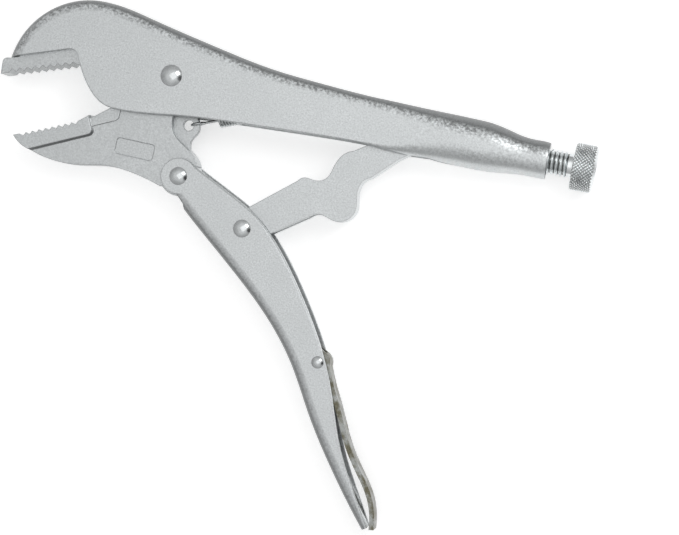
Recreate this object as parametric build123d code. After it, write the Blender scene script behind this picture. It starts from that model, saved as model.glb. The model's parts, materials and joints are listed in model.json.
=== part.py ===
from build123d import *
import math
import os

# Locking pliers, 10 inch, straight jaws, half open.
# Mechanism frame while modelling: the main jaw pivot is (0, 0, 0), X runs along the adjusting
# screw towards the knob, Y points away from the lower handle, Z is the direction of the pivots.
# Everything is moved at the end so that the origin is the middle of the underside.

# ---- Driving dimensions, millimetres ----
FRAME_SHEET = 2.3            # thickness of the folded upper handle
FRAME_INNER = 6.15           # half of the space between its cheeks
FRAME_OUTER = FRAME_INNER + FRAME_SHEET
FOLD_RADIUS = 5.0            # outside radius of the fold along its top

EDGE_ROUNDING = 0.5          # of the cheeks' free edges

HANDLE_SHEET = 2.0           # lower handle
HANDLE_INNER = 5.2
HANDLE_OUTER = HANDLE_INNER + HANDLE_SHEET
HANDLE_FOLD = 4.2
HANDLE_LIP = 0.7             # bevel of the free edges along the grip

JAW_TOOTH_HALF = 5.95        # half widths of the forged lower jaw
JAW_HUB_HALF = 5.85
JAW_BODY_HALF = 4.85
JAW_SHOULDER_HALF = 5.35
JAW_STEP_BEVEL = 0.95        # slope between the tooth block and the web
SPRING_TAB_HALF = 1.5

LINK_HALF = 4.6
LINK_SHEET = 2.2
LEVER_HALF = 4.85
LEVER_SHEET = 2.1

SCREW_RADIUS = 5.55          # 7/16 inch shank
SCREW_Y = -5.3               # the screw's axis passes below the main pivot
SCREW_END = 117.6            # inner end, short of the link's tip
STUB_RADIUS = 3.0            # end of the shank, inside the knob
KNOB_START = 171.1
KNOB_END = 180.4
KNOB_RADIUS = 9.85
TAIL_END = 160.6

RUN_CLEARANCE = 0.05         # radial clearance of a pin that turns in its bore
SLIDE_CLEARANCE = 0.08       # radial clearance of the screw in the tail
RIVET_STEEL = 3.0            # shank radius of the three large rivets
SMALL_RIVET_STEEL = 1.8
THROUGH = 20                 # half length of a cut that passes right through

# ---- Pivots and other centres ----
JAW_PIVOT = (0.0, 0.0)
HANDLE_PIVOT = (10.9, -40.6)
LINK_PIVOT = (41.8, -57.0)
LEVER_PIVOT = (83.9, -105.2)
SPRING_HOLE = (9.8, -18.8)
SPRING_ANCHOR = (67.0, 2.2)
HEAD_CENTRE = (-36.0, -9.3)
HEAD_RADIUS = 35.0

TOOTH_DEPTH = 1.4
TOOTH_COUNT = 9

SPRING_WIRE = 0.55           # wire radius
SPRING_COIL = 2.75           # radius of the coil's centre line

LABEL_LENGTH = 16.6          # shallow recess on each side of the lower jaw
LABEL_HEIGHT = 6.8
LABEL_CORNER = 1.3
LABEL_DEPTH = 0.35
LABEL_CENTRE = (-10.2, -33.0)

KNOB_BACK_CHAMFER = 1.1
KNOB_FRONT_CHAMFER = 0.6
KNOB_RECESS_RADIUS = 5.6
KNOB_RECESS_DEPTH = 0.6
KNOB_BORE_DEPTH = 6.3
NECK_LENGTH = 2.1            # smooth neck between the thread and the knob
KNOB_GAP = 0.3


# ---- Small helpers ----
def plate(face, half_width):
    """A flat profile made into a solid that is centred on Z = 0."""
    return extrude(face, half_width, both=True)


def disc(centre, radius, half_width):
    """A cylinder along Z, centred on Z = 0."""
    return Pos(centre[0], centre[1], 0) * Cylinder(radius, 2 * half_width)


def outline(*edges):
    """A face from edges that join end to end."""
    return make_face(Curve() + list(edges))


def moved_aside(points, distance):
    """The points of a curve, each moved to the curve's left by a distance."""
    moved = []
    for i, (x, y) in enumerate(points):
        x0, y0 = points[max(i - 1, 0)]
        x1, y1 = points[min(i + 1, len(points) - 1)]
        length = math.hypot(x1 - x0, y1 - y0)
        moved.append((x - distance * (y1 - y0) / length, y + distance * (x1 - x0) / length))
    return moved


def edges_along(solid, z, test):
    """Edges of a solid that lie in the plane Z = z and whose middle passes a test."""
    found = ShapeList()
    for edge in solid.edges():
        box = edge.bounding_box()
        if abs(box.min.Z - z) < 0.01 and abs(box.max.Z - z) < 0.01 and test(edge @ 0.5):
            found.append(edge)
    return found


def tooth_row(start, end, depth, flat):
    """Points of a saw-tooth line. Depth is measured to the left of the line."""
    dx = end[0] - start[0]
    dy = end[1] - start[1]
    length = math.hypot(dx, dy)
    ux = dx / length
    uy = dy / length
    pitch = (length - flat) / TOOTH_COUNT
    points = [start]
    for i in range(TOOTH_COUNT):
        crest = flat + i * pitch
        valley = crest + pitch / 2
        points.append((start[0] + ux * crest, start[1] + uy * crest))
        points.append((start[0] + ux * valley - uy * depth, start[1] + uy * valley + ux * depth))
    points.append(end)
    return points


def rivet(centre, shank, head_radius, head_height, grip_half, name):
    """A round-headed rivet: a shank and a shallow dome at each end."""
    sphere_radius = (head_radius ** 2 + head_height ** 2) / (2 * head_height)
    cap = Pos(0, 0, grip_half + head_height - sphere_radius) * Sphere(sphere_radius)
    cap &= Pos(0, 0, grip_half + head_height / 2) * Cylinder(head_radius, head_height)
    body = Cylinder(shank, 2 * grip_half) + cap + Rot(180, 0, 0) * cap
    body.label = name
    return Pos(centre[0], centre[1], 0) * body


# ---- Upper handle ----
FRAME_JOIN = 84.0            # the channel ends and the rolled tail starts
TOP_LINE = [(-36.0, 25.7), (-14.0, 22.2), (17.8, 15.1), (42.0, 10.6), (62.0, 8.7), (FRAME_JOIN, 7.2)]
NOSE = (-70.68, -4.7)
CUTOUT_CORNER = (-42.2, 4.3)
CUTOUT_END = (-39.9, -2.3)
# Rolled tail, in equal steps along X: top, bottom, width, top and bottom corner radius
TAIL_SECTIONS = [
    (7.2, -12.6, 2 * FRAME_OUTER, FOLD_RADIUS, 0.5),
    (7.0, -13.4, 16.95, 5.3, 1.6),
    (6.8, -14.0, 17.2, 6.0, 3.6),
    (6.6, -14.3, 17.6, 7.0, 6.0),
    (6.5, -14.3, 18.0, 8.0, 7.6),
    (6.4, -14.3, 18.3, 8.7, 8.6),
    (6.2, -14.4, 18.4, 9.0, 9.0),
    (5.5, -14.2, 18.2, 8.9, 8.9),
    (3.7, -13.4, 16.5, 8.1, 8.1),
    (2.5, -12.9, 15.3, 7.5, 7.5),
    (2.2, -12.8, 15.0, 7.4, 7.4),
]


def tail_section(x, top, bottom, width, r_top, r_bottom, inset):
    """One cross-section of the tail: a rectangle with its corners rounded."""
    half = width / 2 - inset
    high = top - inset
    low = bottom + inset
    rt = max(r_top - inset, 0.4)
    rb = max(r_bottom - inset, 0.4)
    limit = min(half, (high - low) / 2) - 0.05
    rt = min(rt, limit)
    rb = min(rb, limit)
    plane = Plane(origin=(x, 0, 0), x_dir=(0, 0, -1), z_dir=(1, 0, 0))
    corners = [(half, high, rt), (half, low, rb), (-half, low, rb), (-half, high, rt)]
    edges = []
    for i, (cx, cy, r) in enumerate(corners):
        sx = math.copysign(1, cx)
        sy = math.copysign(1, cy - (high + low) / 2)
        along_y = (cx, cy - sy * r)
        along_x = (cx - sx * r, cy)
        first, last = (along_x, along_y) if i % 2 == 0 else (along_y, along_x)
        middle = (cx - sx * r * (1 - math.sqrt(0.5)), cy - sy * r * (1 - math.sqrt(0.5)))
        edges.append(ThreePointArc(first, middle, last))
    for i in range(4):
        edges.append(Line(edges[i] @ 1, edges[(i + 1) % 4] @ 0))
    return plane * make_face(Curve() + edges)


def tail_solid(inset, last):
    """The tail's smooth solid through its sections, each inset by the same amount."""
    step = (TAIL_END - FRAME_JOIN) / (len(TAIL_SECTIONS) - 1)
    sections = [tail_section(FRAME_JOIN + i * step, *TAIL_SECTIONS[i], inset) for i in range(last)]
    return loft(Sketch() + sections)


def frame_face(inset):
    """Side outline of the front half: cheeks, throat and the cut-out for the fixed jaw."""
    head_radius = HEAD_RADIUS - inset
    centre = HEAD_CENTRE
    top = [(x, y - inset) for x, y in TOP_LINE]
    if inset:
        start = (centre[0] - head_radius, centre[1])
        half_way = math.radians(135)
    else:
        start = NOSE
        half_way = math.radians(128)
    middle = (centre[0] + head_radius * math.cos(half_way), centre[1] + head_radius * math.sin(half_way))
    head = ThreePointArc(start, middle, top[0])
    back = Spline(*top, tangents=[(1, 0), (1, -0.05)])
    if inset:
        rest = Polyline(top[-1], (FRAME_JOIN, -40), (start[0], -40), start)
        return outline(head, back, rest)
    end = Line(top[-1], (FRAME_JOIN, -12.6))
    bottom = Spline((FRAME_JOIN, -12.6), (43, -13.8), (6, -15.9), (-21, -18.1), tangents=[(-1, 0), (-1, 0.02)])
    throat = Spline((-21, -18.1), (-31.4, -14.0), (-37.4, -6.6), CUTOUT_END, tangents=[(-1, 0), (-0.5, 0.8)])
    cutout = FilletPolyline(CUTOUT_END, CUTOUT_CORNER, NOSE, radius=4)
    return outline(head, back, end, bottom, throat, cutout)


def fixed_handle():
    """Upper handle: one folded sheet with a rolled, bored tail and a lanced spring anchor."""
    front = plate(frame_face(0), FRAME_OUTER)
    for z in (-FRAME_OUTER, FRAME_OUTER):
        fold = edges_along(front, z, on_top_line)
        front = fillet(fold, FOLD_RADIUS)
        front = fillet(edges_along(front, z, on_lower_edge), EDGE_ROUNDING)
    hollow = plate(frame_face(FRAME_SHEET), FRAME_INNER)
    for z in (-FRAME_INNER, FRAME_INNER):
        fold = edges_along(hollow, z, on_top_line)
        hollow = fillet(fold, FOLD_RADIUS - FRAME_SHEET)
    body = front.fuse(tail_solid(0, len(TAIL_SECTIONS)), tol=0.001)
    body -= hollow.fuse(tail_solid(FRAME_SHEET, 8), tol=0.001)
    body -= bottom_opening()
    bore_start = 120.0
    bore = Pos((bore_start + TAIL_END) / 2, SCREW_Y, 0) * Rot(0, 90, 0)
    body -= bore * Cylinder(SCREW_RADIUS + SLIDE_CLEARANCE, TAIL_END - bore_start + 2)
    body -= disc(JAW_PIVOT, RIVET_STEEL, THROUGH)
    body += spring_anchor()
    body.label = "fixed_handle"
    return body


def on_top_line(point):
    """True for a point of the side outline that lies on the folded edge."""
    head = math.hypot(point.X - HEAD_CENTRE[0], point.Y - HEAD_CENTRE[1])
    if point.X < HEAD_CENTRE[0]:
        return HEAD_RADIUS - FRAME_SHEET - 0.1 < head < HEAD_RADIUS + 0.1 and point.Y > NOSE[1]
    return 4.0 < point.Y and point.X < FRAME_JOIN - 1


def on_lower_edge(point):
    """True for a point of the side outline on the cheeks' free lower edge."""
    return CUTOUT_END[0] - 0.5 < point.X < FRAME_JOIN - 1 and point.Y < CUTOUT_END[1]


def bottom_opening():
    """The open underside, which closes to a narrow seam along the tail."""
    half_seam = 0.4
    link_room = LINK_HALF + 0.5
    narrow = 112.0
    close = 124.0
    far = TAIL_END + 1
    wedge = Polyline(
        (FRAME_JOIN - 1, -FRAME_INNER), (narrow, -link_room), (close, -half_seam), (far, -half_seam),
        (far, half_seam), (close, half_seam), (narrow, link_room), (FRAME_JOIN - 1, FRAME_INNER), close=True,
    )
    floor = Plane(origin=(0, -30, 0), x_dir=(1, 0, 0), z_dir=(0, 1, 0))
    return floor * extrude(make_face(wedge), 21)


def spring_anchor():
    """A tongue of the frame's sheet, lanced down from the fold and pierced for the spring."""
    x, y = SPRING_ANCHOR
    tongue = Pos(x, y + 2.1, 0) * Box(6, 7.6, 2)
    return tongue - disc((x, y), 1.2, 3)


# ---- Fixed jaw ----
def fixed_jaw():
    """Serrated insert: its teeth stand out of the cut-out and its root lies between the cheeks."""
    front_low = (-73.3, -12.4)
    front_high = (-73.6, -5.4)
    tooth_end = (-41.4, -2.7)
    teeth = tooth_row(front_low, tooth_end, TOOTH_DEPTH, 3.4)
    face = make_face(
        Polyline(
            *teeth, (-39.5, -2.2), (-41.0, 3.4), (-46.0, 7.5), (-62.0, 4.6), (-66.9, -3.9),
            (-70.7, -5.1), front_high, close=True,
        )
    )
    jaw = plate(face, FRAME_INNER - 0.1)
    jaw = fillet(edge_near(jaw, front_high), 2.0)
    jaw.label = "fixed_jaw"
    return jaw


def edge_near(solid, point):
    """The edges along Z that pass through a point of the side view."""
    found = ShapeList()
    for edge in solid.edges().filter_by(Axis.Z):
        middle = edge @ 0.5
        if math.hypot(middle.X - point[0], middle.Y - point[1]) < 0.05:
            found.append(edge)
    return found


# ---- Movable jaw ----
JAW_TIP = (-63.0, -36.9)
JAW_HEEL = (-36.3, -25.9)
RAMP_TOP = (-31.9, -22.4)
STEP_START = (-54.2, -41.8)
STEP_CORNER = (-28.2, -30.2)
UNDERSIDE = [STEP_START, (-46.0, -43.9), (-36.3, -44.3), (-21.0, -42.1), (-8.0, -43.2), (3.5, -46.2)]
BACK_EDGE = [(17.6, -35.1), (9.9, -27.5), (4.6, -23.0), (3.3, -19.0), (4.2, -12.0)]
B_LOBE = 8.3
HUB_RADIUS = 11.0


def jaw_front_face():
    """Side outline of the thick tooth block."""
    teeth = tooth_row(JAW_TIP, JAW_HEEL, -TOOTH_DEPTH, 2.8)
    top = Polyline(*teeth, RAMP_TOP)
    step = FilletPolyline(RAMP_TOP, STEP_CORNER, STEP_START, radius=2.5)
    chin = Spline(STEP_START, (-58.6, -40.3), JAW_TIP)
    return outline(top, step, chin)


def tooth_block():
    """The thick tooth block, bevelled down to the web along its step."""
    block = plate(jaw_front_face(), JAW_TOOTH_HALF)
    for z in (-JAW_TOOTH_HALF, JAW_TOOTH_HALF):
        block = chamfer(edges_along(block, z, on_step), JAW_STEP_BEVEL)
    return block


def on_step(point):
    """True for a point of the side view on the line from the jaw's chin up to the ramp."""
    fall = (STEP_CORNER[1] - STEP_START[1]) / (STEP_CORNER[0] - STEP_START[0])
    on_line = abs(point.Y - STEP_START[1] - fall * (point.X - STEP_START[0])) < 0.3
    return (on_line and point.X > STEP_START[0] + 1) or point.X > RAMP_TOP[0] + 0.1


def jaw_body_face():
    """Side outline of the thinner web between the teeth, the hub and the handle pivot."""
    inside_block = (-46.0, -34.5)
    top = Polyline(
        STEP_START, inside_block, (-36.0, -28.5), (-31.0, -23.4), (-23.9, -18.0), (-8.0, 2.0), (4.0, 3.0),
        BACK_EDGE[-1],
    )
    back = Spline(*reversed(BACK_EDGE))
    end = Polyline(BACK_EDGE[0], HANDLE_PIVOT, UNDERSIDE[-1])
    under = Spline(*reversed(UNDERSIDE))
    return outline(top, back, end, under)


def spring_tab_face():
    """Side outline of the thin tab that holds the spring's hook."""
    round_part = Pos(*SPRING_HOLE) * Circle(4.8)
    edge = Spline((14.6, -19.0), (13.9, -22.0), (12.2, -25.0), (12.3, -28.0), (14.5, -31.5))
    root = Polyline(edge @ 1, (6, -30), (0, -20), (2, -8), (9, -9), (13, -14.5), edge @ 0)
    return round_part + outline(edge, root)


def movable_jaw():
    """Lower jaw: tooth block, web, hub between the cheeks and a thin spring tab."""
    body = plate(jaw_body_face(), JAW_BODY_HALF)
    body += disc(HANDLE_PIVOT, B_LOBE, JAW_BODY_HALF)
    body += disc(JAW_PIVOT, HUB_RADIUS, JAW_HUB_HALF)
    body += tooth_block()
    shoulder = FilletPolyline((-31.5, -27.6), (-19.4, -22.2), (-19.2, -8.0), radius=2.5)
    cover = Polyline(shoulder @ 1, (-34, -8), shoulder @ 0)
    body += plate(outline(shoulder, cover) & jaw_body_face(), JAW_SHOULDER_HALF)
    body += plate(spring_tab_face(), SPRING_TAB_HALF)
    body -= disc(SPRING_HOLE, 2.3, 3)
    body -= disc(JAW_PIVOT, RIVET_STEEL + RUN_CLEARANCE, THROUGH)
    body -= disc(HANDLE_PIVOT, RIVET_STEEL + RUN_CLEARANCE, THROUGH)
    for side in (-1, 1):
        label = Pos(*LABEL_CENTRE, side * JAW_BODY_HALF) * Rot(0, 0, -1.5)
        plaque = RectangleRounded(LABEL_LENGTH, LABEL_HEIGHT, LABEL_CORNER)
        body -= label * extrude(plaque, LABEL_DEPTH, both=True)
    body.label = "movable_jaw"
    return body


# ---- Lower handle ----
WEB_LINE = [
    (15.4, -54.0), (27.2, -63.9), (46.0, -79.5), (60.5, -93.2), (72.8, -108.6), (84.0, -127.5),
    (97.2, -147.0), (115.1, -169.6),
]
GRIP_LINE = [
    (14.6, -34.0), (33.5, -43.4), (47.5, -51.5), (60.3, -64.0), (72.5, -80.3), (84.0, -98.8),
    (91.5, -115.0), (99.8, -137.5), (108.6, -154.0), (117.2, -168.2),
]
EAR_RADIUS = 7.5


def lower_handle():
    """Lower handle: a channel, open towards the link, with two ears over the jaw."""
    web = Spline(*WEB_LINE)
    grip = Spline(*reversed(GRIP_LINE))
    tip = Line(WEB_LINE[-1], GRIP_LINE[-1])
    front = Polyline(GRIP_LINE[0], (10.5, -38.0), (7.5, -44.5), (11.6, -48.3), (14.9, -51.6), WEB_LINE[0])
    body = plate(outline(web, tip, grip, front), HANDLE_OUTER)
    body = fillet(both_edges(body, HANDLE_OUTER, web), HANDLE_FOLD)
    body = chamfer(both_edges(body, HANDLE_OUTER, grip), HANDLE_LIP)
    inner_points = moved_aside(WEB_LINE, HANDLE_SHEET)
    far_points = moved_aside(GRIP_LINE, 12)
    inner = Spline(*inner_points)
    rest = Polyline(
        inner @ 1, (140, -180), far_points[5], far_points[1], (14, -20), (-10, -30), (-5, -65), inner @ 0,
    )
    hollow = plate(outline(inner, rest), HANDLE_INNER)
    hollow = fillet(both_edges(hollow, HANDLE_INNER, inner), HANDLE_FOLD - HANDLE_SHEET)
    body += disc(HANDLE_PIVOT, EAR_RADIUS, HANDLE_OUTER)
    body -= hollow
    body -= disc(HANDLE_PIVOT, RIVET_STEEL, THROUGH)
    body -= disc(LINK_PIVOT, RIVET_STEEL, THROUGH)
    body -= disc(LEVER_PIVOT, SMALL_RIVET_STEEL, THROUGH)
    body.label = "lower_handle"
    return body


def both_edges(solid, half, curve):
    """The two edges of a plate that follow one curve of its side view, at z = -half and +half."""
    def near_curve(point):
        return curve.distance_to(Vector(point.X, point.Y, 0)) < 0.3

    return edges_along(solid, -half, near_curve) + edges_along(solid, half, near_curve)


# ---- Toggle link ----
def link_face():
    """Side outline of the link: round end, notch above, bump below, narrow tip."""
    cx, cy = LINK_PIVOT
    top_start = (37.5, -51.7)
    low_start = (45.6, -62.4)
    upper = Polyline(top_start, (60.6, -32.9))
    notch = Spline(
        (60.6, -32.9), (63.6, -31.0), (68.4, -31.4), (72.4, -29.4), (74.1, -25.0), (76.0, -20.4), (81.3, -16.4),
    )
    blade = Polyline((81.3, -16.4), (103.6, -1.6))
    nose = ThreePointArc((103.6, -1.6), (110.4, -3.6), (110.0, -9.6))
    belly = Polyline((110.0, -9.6), (100.1, -16.6), (90.5, -26.0))
    bump = Spline(
        (90.5, -26.0), (86.3, -31.0), (86.4, -35.5), (86.9, -40.5), (84.0, -45.2), (79.5, -46.6), (74.0, -45.2),
        (68.0, -47.0),
    )
    low = Polyline((68.0, -47.0), low_start)
    end = ThreePointArc(low_start, (cx - 5.1, cy - 4.7), top_start)
    return outline(upper, notch, blade, nose, belly, bump, low, end)


def toggle_link():
    """Toggle link: two cheeks joined by a fold at the bump and closed together at the tip."""
    body = plate(link_face(), LINK_HALF)
    slot = make_face(Polyline(
        (30, -60), (44, -66), (68.5, -49.6), (76, -42.5), (83.6, -40.5), (82.6, -31), (97, -14),
        (92, -4), (70, -22), (50, -30), close=True,
    ))
    body -= plate(slot, LINK_HALF - LINK_SHEET)
    body -= disc(LINK_PIVOT, RIVET_STEEL + RUN_CLEARANCE, THROUGH)
    body.label = "toggle_link"
    return body


# ---- Release lever ----
LEVER_LINE = [
    (87.2, -105.0), (91.0, -113.6), (95.2, -121.6), (102.9, -137.2), (109.5, -146.8), (115.6, -155.8),
    (118.3, -163.5), (119.0, -168.8),
]


def release_lever():
    """Release lever: a long strip, folded into two cheeks round its rivet, with a short nose."""
    half = LEVER_SHEET / 2
    left = moved_aside(LEVER_LINE, half)
    right = moved_aside(LEVER_LINE, -half)
    strip = outline(Spline(*left), Line(left[-1], right[-1]), Spline(*reversed(right)), Line(right[0], left[0]))
    body = plate(strip, LEVER_HALF)
    ex, ey = LEVER_PIVOT
    nose = (74.2, -97.2)
    ring = make_face(Polyline(
        (nose[0] + 1.9, nose[1] + 2.3), (ex + 2.2, ey + 4.4), left[0], left[1], right[1], right[0],
        (ex - 0.5, ey - 5.0), (nose[0] - 2.2, nose[1] - 2.0), close=True,
    ))
    cheeks = plate(ring, LEVER_HALF) + disc(nose, 3.0, LEVER_HALF) + disc(LEVER_PIVOT, 5.0, LEVER_HALF)
    gap = plate(make_face(Polyline(
        (ex + 1.2, ey + 8), (left[1][0] - 1.8, left[1][1] - 1), (ex - 8, ey - 8), (nose[0] - 0.5, nose[1] - 5),
        (nose[0] + 2.2, nose[1] + 3.8), close=True,
    )), LEVER_HALF - LEVER_SHEET)
    body += cheeks - gap
    body -= disc(LEVER_PIVOT, SMALL_RIVET_STEEL + RUN_CLEARANCE, THROUGH)
    body.label = "release_lever"
    return body


# ---- Screw and knob ----
def along_x(x0, x1):
    """Location of a cylinder between two places on the screw's axis."""
    return Pos((x0 + x1) / 2, SCREW_Y, 0) * Rot(0, 90, 0)


def adjusting_screw():
    """Threaded shank, drawn at its thread's outer diameter, with a smooth neck at the knob."""
    neck_end = KNOB_START - KNOB_GAP
    neck_start = neck_end - NECK_LENGTH
    shank = along_x(SCREW_END, neck_start) * Cylinder(SCREW_RADIUS, neck_start - SCREW_END)
    shank = chamfer(shank.edges().group_by(Axis.X)[0], 1.0)
    neck = along_x(neck_start, neck_end) * Cylinder(SCREW_RADIUS - 0.5, NECK_LENGTH)
    stub_end = KNOB_START + KNOB_BORE_DEPTH - KNOB_GAP
    stub = along_x(neck_end, stub_end) * Cylinder(STUB_RADIUS, stub_end - neck_end)
    screw = shank + neck + stub
    screw.label = "adjusting_screw"
    return screw


def adjusting_knob():
    """Knurled head with chamfered rims and a shallow turned recess in its end."""
    knob = along_x(KNOB_START, KNOB_END) * Cylinder(KNOB_RADIUS, KNOB_END - KNOB_START)
    knob = chamfer(knob.edges().group_by(Axis.X)[-1], KNOB_BACK_CHAMFER)
    knob = chamfer(knob.edges().group_by(Axis.X)[0], KNOB_FRONT_CHAMFER)
    knob -= along_x(KNOB_END - KNOB_RECESS_DEPTH, KNOB_END + 1) * Cylinder(KNOB_RECESS_RADIUS, KNOB_RECESS_DEPTH + 1)
    bore_end = KNOB_START + KNOB_BORE_DEPTH
    knob -= along_x(KNOB_START - 1, bore_end) * Cylinder(STUB_RADIUS + RUN_CLEARANCE, KNOB_BORE_DEPTH + 1)
    knob.label = "adjusting_knob"
    return knob


# ---- Return spring ----
def return_spring():
    """Extension spring from the jaw's tab to the frame's anchor: coil, two legs and two hooks."""
    hx, hy = SPRING_HOLE
    ax, ay = SPRING_ANCHOR
    length = math.hypot(ax - hx, ay - hy)
    along = Pos(hx, hy, 0) * Rot(0, 0, math.degrees(math.atan2(ay - hy, ax - hx)))
    coil_start = 13.5
    coil_end = length - 16.0
    tube = Pos((coil_start + coil_end) / 2, 0, 0) * Rot(0, 90, 0) * Cylinder(
        SPRING_COIL + SPRING_WIRE, coil_end - coil_start
    )
    core = Pos((coil_start + coil_end) / 2, 0, 0) * Rot(0, 90, 0) * Cylinder(
        SPRING_COIL - SPRING_WIRE, coil_end - coil_start
    )
    coil = tube - core
    spring = coil + hook(0, coil_start, 1, 1.2, 2.8) + hook(length, coil_end, -1, 0.3, 2.4)
    spring = along * spring
    spring.label = "return_spring"
    return spring


def hook(eye, coil_face, side, first, loop_radius):
    """A leg from the coil's middle that ends in a loop through an eye."""
    loop = Pos(eye + side * (first + loop_radius), 0, 0) * Rot(90, 0, 0) * Torus(loop_radius, SPRING_WIRE)
    leg_start = eye + side * (first + 2 * loop_radius)
    bar_place = coil_face + side * 0.4
    leg = Pos((leg_start + bar_place) / 2, 0, 0) * Rot(0, 90, 0) * Cylinder(SPRING_WIRE, abs(bar_place - leg_start))
    bar = Pos(bar_place, 0, 0) * Rot(90, 0, 0) * Cylinder(SPRING_WIRE, 2 * SPRING_COIL)
    return loop + leg + bar


# ---- Assembly ----
def build_parts():
    """Every node of the tool, in the mechanism frame."""
    parts = [
        fixed_handle(),
        fixed_jaw(),
        movable_jaw(),
        lower_handle(),
        toggle_link(),
        release_lever(),
        adjusting_screw(),
        adjusting_knob(),
        return_spring(),
        rivet(JAW_PIVOT, RIVET_STEEL, 4.6, 1.7, FRAME_OUTER, "jaw_pivot_rivet"),
        rivet(HANDLE_PIVOT, RIVET_STEEL, 3.8, 1.4, HANDLE_OUTER, "handle_pivot_rivet"),
        rivet(LINK_PIVOT, RIVET_STEEL, 3.75, 1.4, HANDLE_OUTER, "link_pivot_rivet"),
        rivet(LEVER_PIVOT, SMALL_RIVET_STEEL, 2.6, 1.0, HANDLE_OUTER, "release_lever_rivet"),
    ]
    return parts


def main():
    parts = build_parts()
    boxes = [part.bounding_box() for part in parts]
    low_x = min(box.min.X for box in boxes)
    high_x = max(box.max.X for box in boxes)
    low_y = min(box.min.Y for box in boxes)
    high_y = max(box.max.Y for box in boxes)
    low_z = min(box.min.Z for box in boxes)
    to_origin = Pos(-(low_x + high_x) / 2, -(low_y + high_y) / 2, -low_z)
    os.makedirs("parts", exist_ok=True)
    for part in parts:
        export_step(to_origin * part, f"parts/{part.label}.step")
    print("moved by", to_origin.position)
    for name, pivot in [("jaw", JAW_PIVOT), ("handle", HANDLE_PIVOT), ("link", LINK_PIVOT), ("lever", LEVER_PIVOT)]:
        place = to_origin.position + Vector(pivot[0], pivot[1], 0)
        print(name, "pivot", [round(value, 4) for value in place])


main()
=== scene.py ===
import bmesh
import bpy
import json
import math
from mathutils import Matrix, Vector


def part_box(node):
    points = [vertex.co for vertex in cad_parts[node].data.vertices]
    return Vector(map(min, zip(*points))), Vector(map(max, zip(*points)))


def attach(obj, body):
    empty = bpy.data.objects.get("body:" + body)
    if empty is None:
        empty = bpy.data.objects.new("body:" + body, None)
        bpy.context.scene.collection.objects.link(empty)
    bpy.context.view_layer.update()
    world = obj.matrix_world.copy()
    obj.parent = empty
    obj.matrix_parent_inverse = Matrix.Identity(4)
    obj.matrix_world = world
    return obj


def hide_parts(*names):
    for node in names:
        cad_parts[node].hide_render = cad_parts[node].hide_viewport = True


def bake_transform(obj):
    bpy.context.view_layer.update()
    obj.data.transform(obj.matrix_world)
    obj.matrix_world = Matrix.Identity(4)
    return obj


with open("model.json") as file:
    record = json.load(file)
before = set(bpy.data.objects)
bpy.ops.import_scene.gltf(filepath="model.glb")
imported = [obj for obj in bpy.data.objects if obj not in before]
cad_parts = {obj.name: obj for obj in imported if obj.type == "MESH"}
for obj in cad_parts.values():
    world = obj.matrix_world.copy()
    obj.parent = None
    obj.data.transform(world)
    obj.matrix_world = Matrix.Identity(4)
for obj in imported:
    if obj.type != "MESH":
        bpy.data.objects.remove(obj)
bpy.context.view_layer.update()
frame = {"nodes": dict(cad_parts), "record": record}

# Locking pliers lying on a pale floor. Metres, in the same frame as the CAD model.
MM = 0.001

# ---- Places, from the record and the CAD model's boxes ----
JOINTS = {joint["name"]: joint for joint in frame["record"]["behaviour"]["joints"]}
JAW_PIVOT = Vector(JOINTS["jaw_pivot"]["pos_m"])
SCREW_LOW, SCREW_HIGH = (Vector(corner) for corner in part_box("adjusting_screw"))
KNOB_LOW, KNOB_HIGH = (Vector(corner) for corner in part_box("adjusting_knob"))
AXIS_Y = (KNOB_LOW.y + KNOB_HIGH.y) / 2
AXIS_Z = (KNOB_LOW.z + KNOB_HIGH.z) / 2

# Screw shank: the crest's half width and a flank's width are shares of the pitch.
THREAD_PITCH = 25.4 / 14 * MM
THREAD_RADIUS = 5.55 * MM
THREAD_DEPTH = 1.05 * MM
THREAD_CREST = 0.08
THREAD_FLANK = 0.38
THREAD_CHAMFER = 1.0 * MM
THREAD_RUN_OUT = 0.4 * MM
THREAD_ROWS = 14
SHANK_SIDES = 72
NECK_RADIUS = 5.05 * MM
NECK_LENGTH = 2.1 * MM
STUB_RADIUS = 3.0 * MM
STUB_LENGTH = 6.0 * MM

# Knob: a knurl groove takes a share of the distance between two pyramids.
KNOB_RADIUS = 9.85 * MM
KNOB_ROWS = 62
KNURL_COUNT = 40
KNURL_SIDES = 10
KNURL_DEPTH = 0.5 * MM
KNURL_GROOVE = 0.5
BORE_RADIUS = 3.05 * MM
BORE_DEPTH = 6.3 * MM
RECESS_RADIUS = 5.6 * MM
RECESS_DEPTH = 0.6 * MM
RECESS_CHAMFER = 0.3 * MM
RECESS_INNER_RADIUS = 1.2 * MM
FRONT_CHAMFER = 0.6 * MM
BACK_CHAMFER = 1.1 * MM

# Return spring: its hole in the jaw, its place in the upper handle, and its wire.
SPRING_HOLE = JAW_PIVOT + Vector((9.8, -18.8, 0)) * MM
SPRING_ANCHOR = JAW_PIVOT + Vector((67.0, 2.2, 0)) * MM
WIRE_RADIUS = 0.55 * MM
COIL_RADIUS = 2.75 * MM
COIL_PITCH = 1.16 * MM
COIL_STEPS = 20
# Its hooked loops, and the legs from both ends of the spring to the coil.
JAW_LOOP_RADIUS = 2.8 * MM
JAW_LOOP_START = 1.2 * MM
JAW_LEG = 13.5 * MM
HANDLE_LOOP_RADIUS = 2.4 * MM
HANDLE_LOOP_END = 0.3 * MM
HANDLE_LEG = 16.0 * MM


# ---- Material building blocks ----
def new_material(name):
    """A material with a fresh Principled shader, and its node tree."""
    material = bpy.data.materials.new(name)
    material.use_nodes = True
    tree = material.node_tree
    tree.nodes.clear()
    out = tree.nodes.new("ShaderNodeOutputMaterial")
    shader = tree.nodes.new("ShaderNodeBsdfPrincipled")
    tree.links.new(shader.outputs["BSDF"], out.inputs["Surface"])
    return material, tree, shader


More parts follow.
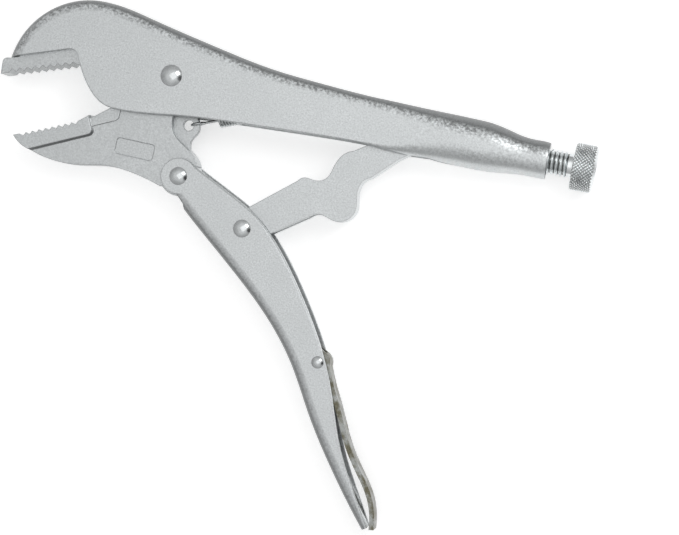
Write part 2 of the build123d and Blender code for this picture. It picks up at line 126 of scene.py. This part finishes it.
def noise(tree, vector, scale, detail, roughness):
    """Noise value; scale is in cells per metre."""
    node = tree.nodes.new("ShaderNodeTexNoise")
    node.inputs["Scale"].default_value = scale
    node.inputs["Detail"].default_value = detail
    node.inputs["Roughness"].default_value = roughness
    tree.links.new(vector, node.inputs["Vector"])
    return node.outputs["Fac"]


def ramp(tree, factor, stops):
    """Colour ramp from (position, colour) stops."""
    node = tree.nodes.new("ShaderNodeValToRGB")
    elements = node.color_ramp.elements
    while len(elements) < len(stops):
        elements.new(0.5)
    for element, (position, colour) in zip(elements, stops):
        element.position = position
        element.color = (*colour, 1.0)
    tree.links.new(factor, node.inputs["Fac"])
    return node.outputs["Color"]


def span(tree, value, low, high, to_low, to_high):
    """Map a value from one range to another."""
    node = tree.nodes.new("ShaderNodeMapRange")
    node.inputs["From Min"].default_value = low
    node.inputs["From Max"].default_value = high
    node.inputs["To Min"].default_value = to_low
    node.inputs["To Max"].default_value = to_high
    tree.links.new(value, node.inputs["Value"])
    return node.outputs["Result"]


def math_node(tree, operation, first, second=None):
    """A Math node of one or two inputs."""
    node = tree.nodes.new("ShaderNodeMath")
    node.operation = operation
    tree.links.new(first, node.inputs[0])
    if second is not None:
        tree.links.new(second, node.inputs[1])
    return node.outputs["Value"]


def mixed(tree, factor, first, second):
    """Blend of two colours."""
    node = tree.nodes.new("ShaderNodeMix")
    node.data_type = "RGBA"
    tree.links.new(factor, node.inputs["Factor"])
    tree.links.new(first, node.inputs["A"])
    tree.links.new(second, node.inputs["B"])
    return node.outputs["Result"]


def bumped(tree, height, strength, distance, before=None):
    """A bump on top of an earlier one."""
    node = tree.nodes.new("ShaderNodeBump")
    node.inputs["Strength"].default_value = strength
    node.inputs["Distance"].default_value = distance
    tree.links.new(height, node.inputs["Height"])
    if before is not None:
        tree.links.new(before, node.inputs["Normal"])
    return node.outputs["Normal"]


def grey(level):
    """The plate's slightly cool grey at a level of brightness."""
    return (0.965 * level, level, 1.01 * level)


def even(level):
    """A neutral grey, or a plain strength between 0 and 1."""
    return (level, level, level)


def edge_normal(tree, radius):
    """Surface normal with the sharp edges eased, so that every cut edge catches the light."""
    node = tree.nodes.new("ShaderNodeBevel")
    node.samples = 6
    node.inputs["Radius"].default_value = radius
    return node.outputs["Normal"]


def part_of(tree, vector, axis):
    """One component of a vector."""
    split = tree.nodes.new("ShaderNodeSeparateXYZ")
    tree.links.new(vector, split.inputs["Vector"])
    return split.outputs[axis]


def outside_groove_shade(tree, low, high, facing_end):
    """Mask of the painted shade in grooves round the screw's axis: 0 in the grooves, 1 above them, well
    inside them and on end faces.

    A groove's bottom is below the radius low, its top at high; an end face's X normal is past facing_end.
    """
    offset = tree.nodes.new("ShaderNodeMapping")
    offset.inputs["Location"].default_value = (0, -AXIS_Y, -AXIS_Z)
    offset.inputs["Scale"].default_value = (0, 1, 1)
    tree.links.new(tree.nodes.new("ShaderNodeTexCoord").outputs["Object"], offset.inputs["Vector"])
    length = tree.nodes.new("ShaderNodeVectorMath")
    length.operation = "LENGTH"
    tree.links.new(offset.outputs["Vector"], length.inputs[0])
    height = span(tree, length.outputs["Value"], low, high, 0.0, 1.0)
    inside = span(tree, length.outputs["Value"], low * 0.95, low * 0.94, 0.0, 1.0)
    facing = part_of(tree, tree.nodes.new("ShaderNodeNewGeometry").outputs["Normal"], "X")
    end_face = span(tree, math_node(tree, "ABSOLUTE", facing), facing_end, facing_end + 0.08, 0.0, 1.0)
    return math_node(tree, "MAXIMUM", height, math_node(tree, "MAXIMUM", inside, end_face))


def plated_steel(name, level, dark_side, lit_level, mottling):
    """Satin plated steel: fine grain, cloudy tone, speckle beside the bends, and painted shade and
    painted highlight on the bends.

    Bends, and the cut edges that the eased normal rounds, get painted shade where they face dark_side, an
    axis and two values along it, and a painted highlight at lit_level elsewhere.
    mottling is the strength of the speckle beside them; it is stronger on the side that faces dark_side.
    """
    roughness = 0.34
    # Level of the painted shade on the bends, as a share of level.
    bend_shade_level = 0.34
    material, tree, shader = new_material(name)
    place = tree.nodes.new("ShaderNodeTexCoord").outputs["Object"]
    eased = edge_normal(tree, 0.5 * MM)
    # The eased normal's lean marks the bends and the cut edges, which get painted shade or painted
    # highlight.
    slope = math_node(tree, "ABSOLUTE", part_of(tree, eased, "Z"))
    axis, lit_end, dark_end = dark_side
    # side runs from 0 on bends that face the light to 1 on bends that face the shade.
    side = span(tree, part_of(tree, eased, axis), lit_end, dark_end, 0.0, 1.0)
    fine = noise(tree, place, 1500.0, 2.0, 0.7)
    cloud = noise(tree, place, 75.0, 4.0, 0.6)
    mottle = noise(tree, place, 900.0, 3.0, 0.65)
    flat_tone = mixed(
        tree, span(tree, cloud, 0.35, 0.65, 0.1, 0.35),
        ramp(tree, fine, [(0.3, grey(level * 0.78)), (0.7, grey(level * 1.16))]),
        ramp(tree, cloud, [(0.3, grey(level * 0.9)), (0.7, grey(level * 1.04))]),
    )
    # Painted shade for the bends and edges that face away from the light.
    dark = ramp(tree, fine, [
        (0.3, grey(level * bend_shade_level * 0.8)), (0.7, grey(level * bend_shade_level * 1.25)),
    ])
    speckle = ramp(tree, mottle, [
        (0.38, grey(level * 0.42)), (0.5, grey(level * 1.0)), (0.62, grey(level * 1.5)),
    ])
    # Mask of the bends and edges that take painted shade or painted highlight in place of the flat tone.
    painted_bend_mask = ramp(tree, slope, [
        (0.0, even(0.35)), (0.15, even(1.0)), (0.74, even(0.95)), (0.88, even(0.0)),
    ])
    beside_bend = ramp(tree, slope, [
        (0.5, even(0.2)), (0.8, even(1.0)), (0.95, even(0.8)), (0.995, even(0.3)), (1.0, even(0.0)),
    ])
    # Painted highlight for the bends and edges that face the light.
    bend_highlight = ramp(tree, fine, [(0.3, grey(level * lit_level * 0.85)), (0.7, grey(level * lit_level * 1.1))])
    side_mottling = span(tree, side, 0.0, 1.0, 0.3 * mottling, mottling)
    beside_bend = math_node(tree, "MULTIPLY", beside_bend, side_mottling)
    flat = mixed(tree, beside_bend, flat_tone, speckle)
    # The flat tone, with painted shade and painted highlight laid over the bends and edges.
    tone = mixed(tree, painted_bend_mask, flat, mixed(tree, side, bend_highlight, dark))
    tree.links.new(tone, shader.inputs["Base Color"])
    shader.inputs["Metallic"].default_value = 0.85
    dullness = span(tree, cloud, 0.3, 0.7, roughness * 0.88, roughness * 1.14)
    tree.links.new(dullness, shader.inputs["Roughness"])
    peel = bumped(tree, math_node(tree, "MULTIPLY", mottle, beside_bend), 0.5, 0.0003, eased)
    skin = bumped(tree, fine, 0.45, 0.00012, peel)
    tree.links.new(skin, shader.inputs["Normal"])
    return material


def bright_steel(name, level, roughness, mark_scale, groove=None):
    """Brighter steel with fine marks and stains, and painted shade in its grooves; groove holds the
    values for the mask of that shade.
    """
    material, tree, shader = new_material(name)
    coordinates = tree.nodes.new("ShaderNodeTexCoord").outputs["Object"]
    stretch = tree.nodes.new("ShaderNodeMapping")
    stretch.inputs["Scale"].default_value = mark_scale
    tree.links.new(coordinates, stretch.inputs["Vector"])
    marks = noise(tree, stretch.outputs["Vector"], 300.0, 3.0, 0.6)
    stain = noise(tree, coordinates, 260.0, 4.0, 0.6)
    tone = mixed(
        tree, span(tree, stain, 0.35, 0.65, 0.3, 0.7),
        ramp(tree, marks, [(0.3, grey(level * 0.78)), (0.7, grey(level * 1.12))]),
        ramp(tree, stain, [(0.32, grey(level * 0.72)), (0.6, grey(level * 1.06))]),
    )
    if groove:
        # Painted shade, nearly black, in the thread roots and knurl grooves.
        groove_shade = ramp(tree, stain, [(0.3, (0.05, 0.05, 0.045)), (0.7, (0.12, 0.12, 0.11))])
        tone = mixed(tree, outside_groove_shade(tree, *groove), groove_shade, tone)
    tree.links.new(tone, shader.inputs["Base Color"])
    shader.inputs["Metallic"].default_value = 1.0
    dullness = span(tree, stain, 0.3, 0.7, roughness * 0.8, roughness * 1.3)
    tree.links.new(dullness, shader.inputs["Roughness"])
    tree.links.new(bumped(tree, marks, 0.25, 0.00008), shader.inputs["Normal"])
    return material


def oiled_strip(name):
    """The release lever's darker, slightly warm strip, with rubbed patches."""
    material, tree, shader = new_material(name)
    place = tree.nodes.new("ShaderNodeTexCoord").outputs["Object"]
    rub = noise(tree, place, 180.0, 5.0, 0.65)
    fine = noise(tree, place, 2400.0, 2.0, 0.6)
    dark = ramp(tree, fine, [(0.3, (0.09, 0.085, 0.06)), (0.7, (0.19, 0.18, 0.13))])
    worn = ramp(tree, fine, [(0.3, (0.22, 0.23, 0.22)), (0.7, (0.40, 0.41, 0.40))])
    tone = mixed(tree, span(tree, rub, 0.42, 0.6, 0.0, 1.0), dark, worn)
    tree.links.new(tone, shader.inputs["Base Color"])
    shader.inputs["Metallic"].default_value = 1.0
    tree.links.new(span(tree, rub, 0.3, 0.7, 0.42, 0.26), shader.inputs["Roughness"])
    tree.links.new(bumped(tree, fine, 0.25, 0.0001), shader.inputs["Normal"])
    return material


def assign(node_name, material):
    """Give a CAD node one finished material."""
    node = frame["nodes"][node_name]
    if not node.material_slots:
        node.data.materials.append(material)
    for slot in node.material_slots:
        slot.link = "OBJECT"
        slot.material = material


# ---- Mesh building blocks ----
def add_mesh(name, points, faces, material, smooth_angle=35.0):
    """A new object from points in metres, with sharp edges kept above an angle."""
    mesh = bpy.data.meshes.new(name)
    mesh.from_pydata([tuple(point) for point in points], [], faces)
    work = bmesh.new()
    work.from_mesh(mesh)
    bmesh.ops.remove_doubles(work, verts=work.verts, dist=1e-7)
    bmesh.ops.dissolve_degenerate(work, edges=work.edges, dist=1e-7)
    bmesh.ops.recalc_face_normals(work, faces=work.faces)
    for face in work.faces:
        face.smooth = True
    limit = math.radians(smooth_angle)
    for edge in work.edges:
        if len(edge.link_faces) == 2 and edge.calc_face_angle(0.0) > limit:
            edge.smooth = False
    work.to_mesh(mesh)
    work.free()
    mesh.materials.append(material)
    piece = bpy.data.objects.new(name, mesh)
    bpy.context.collection.objects.link(piece)
    return piece


def on_axis(x, radius, angle):
    """A point round the adjusting screw's axis."""
    return Vector((x, AXIS_Y + radius * math.cos(angle), AXIS_Z + radius * math.sin(angle)))


def ring_faces(rings, around):
    """Quads between closed rings of points, with a centre point before the first and after the last."""
    faces = []
    for i in range(rings - 1):
        for j in range(around):
            a = 1 + i * around + j
            b = 1 + i * around + (j + 1) % around
            faces.append((a, b, b + around, a + around))
    last = 1 + rings * around
    top = 1 + (rings - 1) * around
    for j in range(around):
        faces.append((0, 1 + (j + 1) % around, 1 + j))
        faces.append((last, top + j, top + (j + 1) % around))
    return faces


def turned(name, profile, around, radius_at, material):
    """A turned solid on the screw's axis from (x, radius) pairs; radius_at may cut into it."""
    points = [on_axis(profile[0][0], 0.0, 0.0)]
    for x, radius in profile:
        for j in range(around):
            angle = 2 * math.pi * j / around
            points.append(on_axis(x, radius_at(x, radius, angle), angle))
    points.append(on_axis(profile[-1][0], 0.0, 0.0))
    return add_mesh(name, points, ring_faces(len(profile), around), material)


def thread_radius(x, start, angle):
    """Radius of a helical thread with flat crests and roots, chamfered at its inner end."""
    turn = (x - start) / THREAD_PITCH - angle / (2 * math.pi)
    place = turn - math.floor(turn)
    slope = min(max((abs(place - 0.5) - THREAD_CREST) / THREAD_FLANK, 0.0), 1.0)
    radius = THREAD_RADIUS - THREAD_DEPTH * slope
    return min(radius, THREAD_RADIUS - THREAD_CHAMFER + (x - start))


def screw_shank(material):
    """Threaded shank with its smooth neck and the stub inside the knob."""
    start = SCREW_LOW.x
    stub_end = SCREW_HIGH.x
    neck_end = stub_end - STUB_LENGTH
    neck_start = neck_end - NECK_LENGTH
    thread_end = neck_start - THREAD_RUN_OUT
    steps = int((thread_end - start) / THREAD_PITCH * THREAD_ROWS)
    profile = [(start + (thread_end - start) * i / steps, THREAD_RADIUS) for i in range(steps + 1)]
    profile += [
        (neck_start, THREAD_RADIUS - THREAD_DEPTH),
        (neck_start, NECK_RADIUS),
        (neck_end, NECK_RADIUS),
        (neck_end, STUB_RADIUS),
        (stub_end, STUB_RADIUS),
    ]

    def radius_at(x, radius, angle):
        return thread_radius(x, start, angle) if x <= thread_end else radius

    screw = turned("threaded_shank", profile, SHANK_SIDES, radius_at, material)
    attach(screw, "screw")
    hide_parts("adjusting_screw")


def knurl_radius(x, angle):
    """Outer radius of the knob: crossed grooves that leave small pyramids, and chamfered rims."""
    along = (x - KNOB_LOW.x) / (2 * math.pi * KNOB_RADIUS / KNURL_COUNT)
    about = KNURL_COUNT * angle / (2 * math.pi)
    heights = []
    for place in (about + along, about - along):
        heights.append(min(abs(2 * (place - math.floor(place)) - 1) / KNURL_GROOVE, 1.0))
    radius = KNOB_RADIUS - KNURL_DEPTH * (1 - min(heights))
    front = KNOB_RADIUS - FRONT_CHAMFER + (x - KNOB_LOW.x)
    back = KNOB_RADIUS - BACK_CHAMFER + (KNOB_HIGH.x - x)
    return min(radius, front, back)


def knurled_knob(material):
    """Knurled knob with chamfered rims, its blind bore and a turned recess in the end."""
    low = KNOB_LOW.x
    high = KNOB_HIGH.x
    profile = [(low + BORE_DEPTH, BORE_RADIUS), (low, BORE_RADIUS)]
    profile += [(low + (high - low) * i / KNOB_ROWS, KNOB_RADIUS) for i in range(KNOB_ROWS + 1)]
    profile += [
        (high, RECESS_RADIUS + RECESS_CHAMFER),
        (high - RECESS_CHAMFER, RECESS_RADIUS),
        (high - RECESS_DEPTH, RECESS_RADIUS),
        (high - RECESS_DEPTH, RECESS_INNER_RADIUS),
    ]

    def radius_at(x, radius, angle):
        return knurl_radius(x, angle) if radius == KNOB_RADIUS else radius

    knob = turned("knurled_knob", profile, KNURL_COUNT * KNURL_SIDES, radius_at, material)
    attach(knob, "knob")
    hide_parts("adjusting_knob")


def wire_path():
    """The spring's centre line along local X: loop, leg, coil, leg and loop."""
    length = (SPRING_ANCHOR - SPRING_HOLE).length
    path = []

    def loop(centre, radius, angles):
        for angle in angles:
            turn = math.radians(angle)
            path.append(Vector((centre + radius * math.cos(turn), 0, radius * math.sin(turn))))

    coil_start = JAW_LEG
    coil_end = length - HANDLE_LEG
    loop(JAW_LOOP_START + JAW_LOOP_RADIUS, JAW_LOOP_RADIUS, range(330, -1, -15))
    path.append(Vector((coil_start - 2.0 * MM, 0, 0)))
    path.append(Vector((coil_start - 0.7 * MM, 0, 0.6 * MM)))
    turns = (coil_end - coil_start) / COIL_PITCH
    steps = int(turns * COIL_STEPS)
    for i in range(steps + 1):
        angle = math.pi / 2 + 2 * math.pi * turns * i / steps
        x = coil_start + (coil_end - coil_start) * i / steps
        path.append(Vector((x, COIL_RADIUS * math.cos(angle), COIL_RADIUS * math.sin(angle))))
    path.append(Vector((coil_end + 0.9 * MM, 0, 0)))
    path.append(Vector((coil_end + 2.2 * MM, 0, 0)))
    loop(length - HANDLE_LOOP_END - HANDLE_LOOP_RADIUS, HANDLE_LOOP_RADIUS, range(180, -151, -15))
    return path


def swept_wire(path, radius, sides):
    """Points and faces of a round wire along a path, closed at both ends."""
    points = [path[0]]
    side = Vector((0, 1, 0))
    for i, place in enumerate(path):
        before = path[max(i - 1, 0)]
        after = path[min(i + 1, len(path) - 1)]
        along = (after - before).normalized()
        side = (side - along * side.dot(along)).normalized()
        up = along.cross(side)
        for j in range(sides):
            angle = 2 * math.pi * j / sides
            points.append(place + side * (radius * math.cos(angle)) + up * (radius * math.sin(angle)))
    points.append(path[-1])
    return points, ring_faces(len(path), sides)


def coil_spring(material):
    """Close-wound return spring; its ends reach from the hole in the jaw to its place in the upper
    handle.
    """
    points, faces = swept_wire(wire_path(), WIRE_RADIUS, 8)
    direction = SPRING_ANCHOR - SPRING_HOLE
    turn = Matrix.Rotation(math.atan2(direction.y, direction.x), 4, "Z")
    points = [SPRING_HOLE + turn @ point for point in points]
    spring = add_mesh("coil_spring", points, faces, material, 60.0)
    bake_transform(spring)
    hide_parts("return_spring")


# ---- Staging ----
CAMERA_PLACE = (0.15505, 0.01798, 0.8925)
CAMERA_TURN = (0.871, 8.0, 11.311)
CAMERA_LENS = 113.35
FLOOR_HALF = 60.0
AREA_LIGHTS = (
    # name, place, side in metres, watts
    ("key", (0.45, 0.5, 0.7), 0.4, 1.6),
    ("top", (0.1, 0.1, 1.3), 1.0, 1.6),
)


def add_camera():
    """Long-lens camera nearly straight above the pliers."""
    data = bpy.data.cameras.new("camera")
    data.lens = CAMERA_LENS
    data.sensor_width = 36.0
    data.clip_start = 0.01
    camera = bpy.data.objects.new("camera", data)
    camera.location = CAMERA_PLACE
    camera.rotation_euler = [math.radians(angle) for angle in CAMERA_TURN]
    bpy.context.collection.objects.link(camera)
    bpy.context.scene.camera = camera


def add_area(name, place, size, power):
    """A square soft light that faces the origin."""
    data = bpy.data.lights.new(name, "AREA")
    data.energy = power
    data.size = size
    light = bpy.data.objects.new(name, data)
    light.location = place
    light.rotation_euler = (-Vector(place)).to_track_quat("-Z", "Y").to_euler()
    bpy.context.collection.objects.link(light)


def add_floor():
    """Plain white floor that glows a little, so its shadows stay pale."""
    mesh = bpy.data.meshes.new("floor")
    corners = [(x * FLOOR_HALF, y * FLOOR_HALF, 0) for x, y in ((-1, -1), (1, -1), (1, 1), (-1, 1))]
    mesh.from_pydata(corners, [], [(0, 1, 2, 3)])
    floor = bpy.data.objects.new("floor", mesh)
    bpy.context.collection.objects.link(floor)
    material, _, shader = new_material("floor_white")
    shader.inputs["Base Color"].default_value = (0.8, 0.8, 0.8, 1)
    shader.inputs["Roughness"].default_value = 0.9
    shader.inputs["Emission Color"].default_value = (1, 1, 1, 1)
    shader.inputs["Emission Strength"].default_value = 0.5
    mesh.materials.append(material)


def add_world():
    """Studio surroundings: bright overhead, darker towards the horizon, with one dark flag."""
    world = bpy.data.worlds.new("studio")
    world.use_nodes = True
    tree = world.node_tree
    direction = tree.nodes.new("ShaderNodeTexCoord").outputs["Generated"]
    sky = ramp(tree, part_of(tree, direction, "Z"), [
        (0.0, even(0.50)), (0.3, even(0.55)), (0.6, even(0.68)), (0.82, even(0.92)), (1.0, even(1.0)),
    ])
    toward_dark = tree.nodes.new("ShaderNodeVectorMath")
    toward_dark.operation = "DOT_PRODUCT"
    toward_dark.inputs[1].default_value = Vector((0.82, -0.05, 0.55)).normalized()
    tree.links.new(direction, toward_dark.inputs[0])
    flag = ramp(tree, toward_dark.outputs["Value"], [(0.93, even(1.0)), (0.975, even(0.12))])
    shaded = tree.nodes.new("ShaderNodeMix")
    shaded.data_type = "RGBA"
    shaded.blend_type = "MULTIPLY"
    shaded.inputs["Factor"].default_value = 1.0
    tree.links.new(sky, shaded.inputs["A"])
    tree.links.new(flag, shaded.inputs["B"])
    tree.links.new(shaded.outputs["Result"], tree.nodes["Background"].inputs["Color"])
    tree.nodes["Background"].inputs["Strength"].default_value = 0.8
    bpy.context.scene.world = world


def add_materials():
    """Finish every CAD node and build the pieces that stand for the turned and wound ones."""
    # Each sheet's bends get painted shade on the side given by dark_side and a painted highlight at
    # lit_level elsewhere.
    folded_sheet = plated_steel(
        "plated_sheet_top", level=0.60, dark_side=("Y", -0.35, 0.15), lit_level=1.05, mottling=1.0)
    channel_sheet = plated_steel(
        "plated_sheet_low", level=0.58, dark_side=("X", 0.3, -0.1), lit_level=1.7, mottling=0.3)
    forging = plated_steel(
        "plated_forging", level=0.55, dark_side=("Y", 0.6, -0.2), lit_level=1.6, mottling=0.3)
    round_marks = (1.0, 1.0, 1.0)
    turned_marks = (6.0, 1.0, 1.0)
    rivet = bright_steel("polished_rivet", 0.72, 0.17, round_marks)
    # groove places the painted shade in the thread roots and knurl grooves.
    thread_steel = bright_steel(
        "threaded_steel", 0.8, 0.2, turned_marks, groove=(4.52 * MM, 4.75 * MM, 0.9))
    knurl_steel = bright_steel(
        "knurled_steel", 0.8, 0.2, round_marks, groove=(9.3 * MM, 9.62 * MM, 0.62))
    wire = bright_steel("spring_wire", 0.58, 0.26, round_marks)
    assign("fixed_handle", folded_sheet)
    for name in ("lower_handle", "toggle_link"):
        assign(name, channel_sheet)
    for name in ("fixed_jaw", "movable_jaw"):
        assign(name, forging)
    assign("release_lever", oiled_strip("plated_strip"))
    assign("adjusting_screw", thread_steel)
    assign("adjusting_knob", knurl_steel)
    assign("return_spring", wire)
    for name in ("jaw_pivot_rivet", "handle_pivot_rivet", "link_pivot_rivet", "release_lever_rivet"):
        assign(name, rivet)
    screw_shank(thread_steel)
    knurled_knob(knurl_steel)
    coil_spring(wire)


def main():
    """Finish the part, then stage it."""
    add_materials()
    add_floor()
    add_world()
    add_camera()
    bpy.context.scene.view_settings.view_transform = "Standard"
    for light in AREA_LIGHTS:
        add_area(*light)


main()
